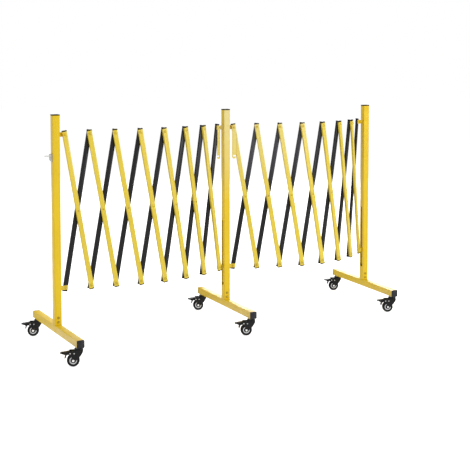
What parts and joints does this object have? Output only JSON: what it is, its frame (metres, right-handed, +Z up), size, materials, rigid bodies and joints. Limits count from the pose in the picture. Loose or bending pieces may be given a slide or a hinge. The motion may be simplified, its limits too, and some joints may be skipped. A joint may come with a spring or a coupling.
{
  "type": "expandable safety barrier",
  "caption": "Free-standing expandable barrier: square posts on wheeled T-bases, joined by two folding lattices of riveted yellow and black bars.",
  "frame": {"origin": "middle of the bounding box at floor level", "axes": "+X along the fence to the right as seen from the front, -Y the front (the yellow bars' side), +Z up"},
  "size_m": [1.707, 0.7006, 0.965],
  "materials": {
    "paint_yellow": "semi-gloss yellow powder coat on steel tube",
    "paint_black": "semi-gloss black powder coat on steel tube",
    "bright_steel": "zinc-plated steel",
    "caster_black": "moulded black plastic, fine grain",
    "wheel_rubber": "smooth black rubber tread on a plastic hub"
  },
  "bodies": {
    "centre_stand": {"post_centre": "paint_yellow", "base_centre": "paint_yellow"},
    "left_stand": {"post_left": "paint_yellow", "base_left": "paint_yellow", "catch_left": "bright_steel"},
    "right_stand": {"post_right": "paint_yellow", "base_right": "paint_yellow", "catch_right": "paint_yellow"},
    "left_bar_yellow_1": {"left_bar_yellow_1": "paint_yellow"},
    "left_bar_yellow_2": {"left_bar_yellow_2": "paint_yellow"},
    "left_bar_yellow_3": {"left_bar_yellow_3": "paint_yellow"},
    "left_bar_yellow_4": {"left_bar_yellow_4": "paint_yellow"},
    "left_bar_yellow_5": {"left_bar_yellow_5": "paint_yellow"},
    "left_bar_yellow_6": {"left_bar_yellow_6": "paint_yellow"},
    "left_bar_yellow_7": {"left_bar_yellow_7": "paint_yellow"},
    "left_bar_black_1": {"left_bar_black_1": "paint_black"},
    "left_bar_black_2": {"left_bar_black_2": "paint_black"},
    "left_bar_black_3": {"left_bar_black_3": "paint_black"},
    "left_bar_black_4": {"left_bar_black_4": "paint_black"},
    "left_bar_black_5": {"left_bar_black_5": "paint_black"},
    "left_bar_black_6": {"left_bar_black_6": "paint_black"},
    "left_bar_black_7": {"left_bar_black_7": "paint_black"},
    "right_bar_yellow_1": {"right_bar_yellow_1": "paint_yellow"},
    "right_bar_yellow_2": {"right_bar_yellow_2": "paint_yellow"},
    "right_bar_yellow_3": {"right_bar_yellow_3": "paint_yellow"},
    "right_bar_yellow_4": {"right_bar_yellow_4": "paint_yellow"},
    "right_bar_yellow_5": {"right_bar_yellow_5": "paint_yellow"},
    "right_bar_yellow_6": {"right_bar_yellow_6": "paint_yellow"},
    "right_bar_yellow_7": {"right_bar_yellow_7": "paint_yellow"},
    "right_bar_black_1": {"right_bar_black_1": "paint_black"},
    "right_bar_black_2": {"right_bar_black_2": "paint_black"},
    "right_bar_black_3": {"right_bar_black_3": "paint_black"},
    "right_bar_black_4": {"right_bar_black_4": "paint_black"},
    "right_bar_black_5": {"right_bar_black_5": "paint_black"},
    "right_bar_black_6": {"right_bar_black_6": "paint_black"},
    "right_bar_black_7": {"right_bar_black_7": "paint_black"},
    "slider_left_outer": {"slider_left_outer": "paint_yellow"},
    "slider_left_inner": {"slider_left_inner": "paint_yellow"},
    "slider_right_inner": {"slider_right_inner": "paint_yellow"},
    "slider_right_outer": {"slider_right_outer": "paint_yellow"},
    "latch_strap_left": {"latch_strap_left": "paint_yellow"},
    "latch_strap_right": {"latch_strap_right": "paint_yellow"},
    "caster_fork_left_front": {"caster_fork_left_front": "caster_black"},
    "caster_wheel_left_front": {"caster_wheel_left_front": "wheel_rubber"},
    "brake_pedal_left_front": {"brake_pedal_left_front": "caster_black"},
    "caster_fork_left_rear": {"caster_fork_left_rear": "caster_black"},
    "caster_wheel_left_rear": {"caster_wheel_left_rear": "wheel_rubber"},
    "brake_pedal_left_rear": {"brake_pedal_left_rear": "caster_black"},
    "caster_fork_centre_front": {"caster_fork_centre_front": "caster_black"},
    "caster_wheel_centre_front": {"caster_wheel_centre_front": "wheel_rubber"},
    "brake_pedal_centre_front": {"brake_pedal_centre_front": "caster_black"},
    "caster_fork_centre_rear": {"caster_fork_centre_rear": "caster_black"},
    "caster_wheel_centre_rear": {"caster_wheel_centre_rear": "wheel_rubber"},
    "brake_pedal_centre_rear": {"brake_pedal_centre_rear": "caster_black"},
    "caster_fork_right_front": {"caster_fork_right_front": "caster_black"},
    "caster_wheel_right_front": {"caster_wheel_right_front": "wheel_rubber"},
    "brake_pedal_right_front": {"brake_pedal_right_front": "caster_black"},
    "caster_fork_right_rear": {"caster_fork_right_rear": "caster_black"},
    "caster_wheel_right_rear": {"caster_wheel_right_rear": "wheel_rubber"},
    "brake_pedal_right_rear": {"brake_pedal_right_rear": "caster_black"}
  },
  "joints": [
    {"name": "fold_right", "type": "hinge", "parent": "centre_stand", "child": "right_bar_yellow_1", "pos_m": [0.07629, 0.00661, 0.883], "axis": [-0.2588, -0.9659, 0], "range_deg": [-7, 10.5]},
    {"name": "right_cross_1", "type": "hinge", "parent": "right_bar_yellow_1", "child": "right_bar_black_1", "pos_m": [0.12836, -0.00734, 0.56875], "axis": [-0.2588, -0.9659, 0], "range_deg": [-21, 14]},
    {"name": "right_top_1", "type": "hinge", "parent": "right_bar_black_1", "child": "right_bar_yellow_2", "pos_m": [0.18042, -0.02129, 0.883], "axis": [-0.2588, -0.9659, 0], "range_deg": [-14, 21]},
    {"name": "right_cross_2", "type": "hinge", "parent": "right_bar_yellow_2", "child": "right_bar_black_2", "pos_m": [0.23249, -0.03524, 0.56875], "axis": [-0.2588, -0.9659, 0], "range_deg": [-21, 14]},
    {"name": "right_top_2", "type": "hinge", "parent": "right_bar_black_2", "child": "right_bar_yellow_3", "pos_m": [0.28455, -0.04919, 0.883], "axis": [-0.2164, -0.9763, 0], "range_deg": [-14, 21]},
    {"name": "right_cross_3", "type": "hinge", "parent": "right_bar_yellow_3", "child": "right_bar_black_3", "pos_m": [0.33763, -0.05855, 0.56875], "axis": [-0.1736, -0.9848, 0], "range_deg": [-21, 14]},
    {"name": "right_top_3", "type": "hinge", "parent": "right_bar_black_3", "child": "right_bar_yellow_4", "pos_m": [0.39071, -0.06791, 0.883], "axis": [-0.0872, -0.9962, 0], "range_deg": [-14, 21]},
    {"name": "right_cross_4", "type": "hinge", "parent": "right_bar_yellow_4", "child": "right_bar_black_4", "pos_m": [0.44461, -0.06791, 0.56875], "axis": [0, -1, 0], "range_deg": [-21, 14]},
    {"name": "right_top_4", "type": "hinge", "parent": "right_bar_black_4", "child": "right_bar_yellow_5", "pos_m": [0.49851, -0.06791, 0.883], "axis": [0.1132, -0.9936, 0], "range_deg": [-14, 20.9]},
    {"name": "right_cross_5", "type": "hinge", "parent": "right_bar_yellow_5", "child": "right_bar_black_5", "pos_m": [0.55103, -0.05578, 0.56875], "axis": [0.225, -0.9744, 0], "range_deg": [-21, 14]},
    {"name": "right_top_5", "type": "hinge", "parent": "right_bar_black_5", "child": "right_bar_yellow_6", "pos_m": [0.60355, -0.04366, 0.883], "axis": [0.3338, -0.9426, 0], "range_deg": [-14, 20.9]},
    {"name": "right_cross_6", "type": "hinge", "parent": "right_bar_yellow_6", "child": "right_bar_black_6", "pos_m": [0.65199, -0.02003, 0.56875], "axis": [0.4384, -0.8988, 0], "range_deg": [-21, 14]},
    {"name": "right_top_6", "type": "hinge", "parent": "right_bar_black_6", "child": "right_bar_yellow_7", "pos_m": [0.70044, 0.0036, 0.883], "axis": [0.515, -0.8572, 0], "range_deg": [-14, 21]},
    {"name": "right_cross_7", "type": "hinge", "parent": "right_bar_yellow_7", "child": "right_bar_black_7", "pos_m": [0.74404, 0.03528, 0.56875], "axis": [0.5878, -0.809, 0], "range_deg": [-21, 14]},
    {"name": "right_stand_pivot", "type": "hinge", "parent": "right_bar_black_7", "child": "right_stand", "pos_m": [0.78765, 0.06696, 0.883], "axis": [0.5878, -0.809, 0], "range_deg": [-7, 10.5]},
    {"name": "slider_right_inner_pivot", "type": "hinge", "parent": "right_bar_black_1", "child": "slider_right_inner", "pos_m": [0.07629, 0.00661, 0.2545], "axis": [-0.2588, -0.9659, 0], "range_deg": [-7, 10.5]},
    {"name": "slider_right_outer_pivot", "type": "hinge", "parent": "right_bar_yellow_7", "child": "slider_right_outer", "pos_m": [0.78765, 0.06696, 0.2545], "axis": [0.5878, -0.809, 0], "range_deg": [-10.5, 7]},
    {"name": "fold_left", "type": "hinge", "parent": "centre_stand", "child": "left_bar_black_7", "pos_m": [0.00029, 0.00661, 0.883], "axis": [-0.4384, 0.8988, 0], "range_deg": [-7, 10.5]},
    {"name": "left_cross_7", "type": "hinge", "parent": "left_bar_black_7", "child": "left_bar_yellow_7", "pos_m": [-0.04815, -0.01701, 0.56875], "axis": [0.4384, -0.8988, 0], "range_deg": [-14, 21]},
    {"name": "left_top_6", "type": "hinge", "parent": "left_bar_yellow_7", "child": "left_bar_black_6", "pos_m": [-0.0966, -0.04064, 0.883], "axis": [0.3907, -0.9205, 0], "range_deg": [-21, 14]},
    {"name": "left_cross_6", "type": "hinge", "parent": "left_bar_black_6", "child": "left_bar_yellow_6", "pos_m": [-0.14724, -0.05908, 0.56875], "axis": [0.342, -0.9397, 0], "range_deg": [-14, 21]},
    {"name": "left_top_5", "type": "hinge", "parent": "left_bar_yellow_6", "child": "left_bar_black_5", "pos_m": [-0.19789, -0.07751, 0.883], "axis": [0.2588, -0.9659, 0], "range_deg": [-21, 14]},
    {"name": "left_cross_5", "type": "hinge", "parent": "left_bar_black_5", "child": "left_bar_yellow_5", "pos_m": [-0.25098, -0.08687, 0.56875], "axis": [0.1736, -0.9848, 0], "range_deg": [-14, 21]},
    {"name": "left_top_4", "type": "hinge", "parent": "left_bar_yellow_5", "child": "left_bar_black_4", "pos_m": [-0.30406, -0.09623, 0.883], "axis": [0.0872, -0.9962, 0], "range_deg": [-21, 14]},
    {"name": "left_cross_4", "type": "hinge", "parent": "left_bar_black_4", "child": "left_bar_yellow_4", "pos_m": [-0.35796, -0.09623, 0.56875], "axis": [0, -1, 0], "range_deg": [-14, 21]},
    {"name": "left_top_3", "type": "hinge", "parent": "left_bar_yellow_4", "child": "left_bar_black_3", "pos_m": [-0.41186, -0.09623, 0.883], "axis": [-0.0523, -0.9986, 0], "range_deg": [-21, 14]},
    {"name": "left_cross_3", "type": "hinge", "parent": "left_bar_black_3", "child": "left_bar_yellow_3", "pos_m": [-0.46546, -0.0906, 0.56875], "axis": [-0.1045, -0.9945, 0], "range_deg": [-14, 21]},
    {"name": "left_top_2", "type": "hinge", "parent": "left_bar_yellow_3", "child": "left_bar_black_2", "pos_m": [-0.51907, -0.08496, 0.883], "axis": [-0.0958, -0.9954, 0], "range_deg": [-21, 14]},
    {"name": "left_cross_2", "type": "hinge", "parent": "left_bar_black_2", "child": "left_bar_yellow_2", "pos_m": [-0.57276, -0.08027, 0.56875], "axis": [-0.0872, -0.9962, 0], "range_deg": [-14, 21]},
    {"name": "left_top_1", "type": "hinge", "parent": "left_bar_yellow_2", "child": "left_bar_black_1", "pos_m": [-0.62646, -0.07557, 0.883], "axis": [-0.0262, -0.9997, 0], "range_deg": [-21, 14]},
    {"name": "left_cross_1", "type": "hinge", "parent": "left_bar_black_1", "child": "left_bar_yellow_1", "pos_m": [-0.68032, -0.07745, 0.56875], "axis": [0.0349, -0.9994, 0], "range_deg": [-14, 21]},
    {"name": "left_stand_pivot", "type": "hinge", "parent": "left_bar_yellow_1", "child": "left_stand", "pos_m": [-0.73419, -0.07933, 0.883], "axis": [0.0349, -0.9994, 0], "range_deg": [-10.5, 7]},
    {"name": "slider_left_outer_pivot", "type": "hinge", "parent": "left_bar_black_1", "child": "slider_left_outer", "pos_m": [-0.73419, -0.07933, 0.2545], "axis": [0.0349, -0.9994, 0], "range_deg": [-7, 10.5]},
    {"name": "slider_left_inner_pivot", "type": "hinge", "parent": "left_bar_yellow_7", "child": "slider_left_inner", "pos_m": [0.00029, 0.00661, 0.2545], "axis": [0.4384, -0.8988, 0], "range_deg": [-10.5, 7]},
    {"name": "latch_left_swing", "type": "hinge", "parent": "centre_stand", "child": "latch_strap_left", "pos_m": [0.00029, 0.00661, 0.883], "axis": [-0.4384, 0.8988, 0], "range_deg": [0, 24]},
    {"name": "latch_right_swing", "type": "hinge", "parent": "centre_stand", "child": "latch_strap_right", "pos_m": [0.07629, 0.00661, 0.883], "axis": [-0.2588, -0.9659, 0], "range_deg": [0, 95]},
    {"name": "swivel_left_front", "type": "hinge", "parent": "left_stand", "child": "caster_fork_left_front", "pos_m": [-0.76181, -0.32771, 0.06], "axis": [0, 0, 1], "continuous": true},
    {"name": "roll_left_front", "type": "hinge", "parent": "caster_fork_left_front", "child": "caster_wheel_left_front", "pos_m": [-0.78207, -0.32049, 0.025], "axis": [-0.3355, -0.9421, 0], "continuous": true},
    {"name": "brake_left_front", "type": "hinge", "parent": "caster_fork_left_front", "child": "brake_pedal_left_front", "pos_m": [-0.7929, -0.31664, 0.054], "axis": [-0.3355, -0.9421, 0], "range_deg": [0, 12]},
    {"name": "swivel_left_rear", "type": "hinge", "parent": "left_stand", "child": "caster_fork_left_rear", "pos_m": [-0.7825, 0.16586, 0.06], "axis": [0, 0, 1], "continuous": true},
    {"name": "roll_left_rear", "type": "hinge", "parent": "caster_fork_left_rear", "child": "caster_wheel_left_rear", "pos_m": [-0.80275, 0.17307, 0.025], "axis": [-0.3355, -0.9421, 0], "continuous": true},
    {"name": "brake_left_rear", "type": "hinge", "parent": "caster_fork_left_rear", "child": "brake_pedal_left_rear", "pos_m": [-0.81359, 0.17693, 0.054], "axis": [-0.3355, -0.9421, 0], "range_deg": [0, 12]},
    {"name": "swivel_centre_front", "type": "hinge", "parent": "centre_stand", "child": "caster_fork_centre_front", "pos_m": [0.03829, -0.24039, 0.06], "axis": [0, 0, 1], "continuous": true},
    {"name": "roll_centre_front", "type": "hinge", "parent": "caster_fork_centre_front", "child": "caster_wheel_centre_front", "pos_m": [0.01836, -0.23233, 0.025], "axis": [-0.3746, -0.9272, 0], "continuous": true},
    {"name": "brake_centre_front", "type": "hinge", "parent": "caster_fork_centre_front", "child": "brake_pedal_centre_front", "pos_m": [0.0077, -0.22802, 0.054], "axis": [-0.3746, -0.9272, 0], "range_deg": [0, 12]},
    {"name": "swivel_centre_rear", "type": "hinge", "parent": "centre_stand", "child": "caster_fork_centre_rear", "pos_m": [0.03829, 0.25361, 0.06], "axis": [0, 0, 1], "continuous": true},
    {"name": "roll_centre_rear", "type": "hinge", "parent": "caster_fork_centre_rear", "child": "caster_wheel_centre_rear", "pos_m": [0.01836, 0.26167, 0.025], "axis": [-0.3746, -0.9272, 0], "continuous": true},
    {"name": "brake_centre_rear", "type": "hinge", "parent": "caster_fork_centre_rear", "child": "brake_pedal_centre_rear", "pos_m": [0.0077, 0.26598, 0.054], "axis": [-0.3746, -0.9272, 0], "range_deg": [0, 12]},
    {"name": "swivel_right_front", "type": "hinge", "parent": "right_stand", "child": "caster_fork_right_front", "pos_m": [0.81874, -0.181, 0.06], "axis": [0, 0, 1], "continuous": true},
    {"name": "roll_right_front", "type": "hinge", "parent": "caster_fork_right_front", "child": "caster_wheel_right_front", "pos_m": [0.79904, -0.1724, 0.025], "axis": [-0.4003, -0.9164, 0], "continuous": true},
    {"name": "brake_right_front", "type": "hinge", "parent": "caster_fork_right_front", "child": "brake_pedal_right_front", "pos_m": [0.7885, -0.16779, 0.054], "axis": [-0.4003, -0.9164, 0], "range_deg": [0, 12]},
    {"name": "swivel_right_rear", "type": "hinge", "parent": "right_stand", "child": "caster_fork_right_rear", "pos_m": [0.83253, 0.3128, 0.06], "axis": [0, 0, 1], "continuous": true},
    {"name": "roll_right_rear", "type": "hinge", "parent": "caster_fork_right_rear", "child": "caster_wheel_right_rear", "pos_m": [0.81283, 0.32141, 0.025], "axis": [-0.4003, -0.9164, 0], "continuous": true},
    {"name": "brake_right_rear", "type": "hinge", "parent": "caster_fork_right_rear", "child": "brake_pedal_right_rear", "pos_m": [0.80229, 0.32602, 0.054], "axis": [-0.4003, -0.9164, 0], "range_deg": [0, 12]}
  ],
  "couplings": [
    {"joint": "right_cross_1", "follows": "fold_right", "ratio": -2},
    {"joint": "right_top_1", "follows": "fold_right", "ratio": 2},
    {"joint": "right_cross_2", "follows": "fold_right", "ratio": -2},
    {"joint": "right_top_2", "follows": "fold_right", "ratio": 1.9981},
    {"joint": "right_cross_3", "follows": "fold_right", "ratio": -2},
    {"joint": "right_top_3", "follows": "fold_right", "ratio": 1.9924},
    {"joint": "right_cross_4", "follows": "fold_right", "ratio": -2},
    {"joint": "right_top_4", "follows": "fold_right", "ratio": 1.9871},
    {"joint": "right_cross_5", "follows": "fold_right", "ratio": -2},
    {"joint": "right_top_5", "follows": "fold_right", "ratio": 1.9871},
    {"joint": "right_cross_6", "follows": "fold_right", "ratio": -2},
    {"joint": "right_top_6", "follows": "fold_right", "ratio": 1.9924},
    {"joint": "right_cross_7", "follows": "fold_right", "ratio": -2},
    {"joint": "right_stand_pivot", "follows": "fold_right", "ratio": 1},
    {"joint": "slider_right_inner_pivot", "follows": "fold_right", "ratio": 1},
    {"joint": "slider_right_outer_pivot", "follows": "fold_right", "ratio": -1},
    {"joint": "left_cross_7", "follows": "fold_left", "ratio": 2},
    {"joint": "left_top_6", "follows": "fold_left", "ratio": -1.9973},
    {"joint": "left_cross_6", "follows": "fold_left", "ratio": 2},
    {"joint": "left_top_5", "follows": "fold_left", "ratio": -1.9924},
    {"joint": "left_cross_5", "follows": "fold_left", "ratio": 2},
    {"joint": "left_top_4", "follows": "fold_left", "ratio": -1.9924},
    {"joint": "left_cross_4", "follows": "fold_left", "ratio": 2},
    {"joint": "left_top_3", "follows": "fold_left", "ratio": -1.9973},
    {"joint": "left_cross_3", "follows": "fold_left", "ratio": 2},
    {"joint": "left_top_2", "follows": "fold_left", "ratio": -1.9999},
    {"joint": "left_cross_2", "follows": "fold_left", "ratio": 2},
    {"joint": "left_top_1", "follows": "fold_left", "ratio": -1.9963},
    {"joint": "left_cross_1", "follows": "fold_left", "ratio": 2},
    {"joint": "left_stand_pivot", "follows": "fold_left", "ratio": -1},
    {"joint": "slider_left_outer_pivot", "follows": "fold_left", "ratio": 1},
    {"joint": "slider_left_inner_pivot", "follows": "fold_left", "ratio": -1}
  ]
}
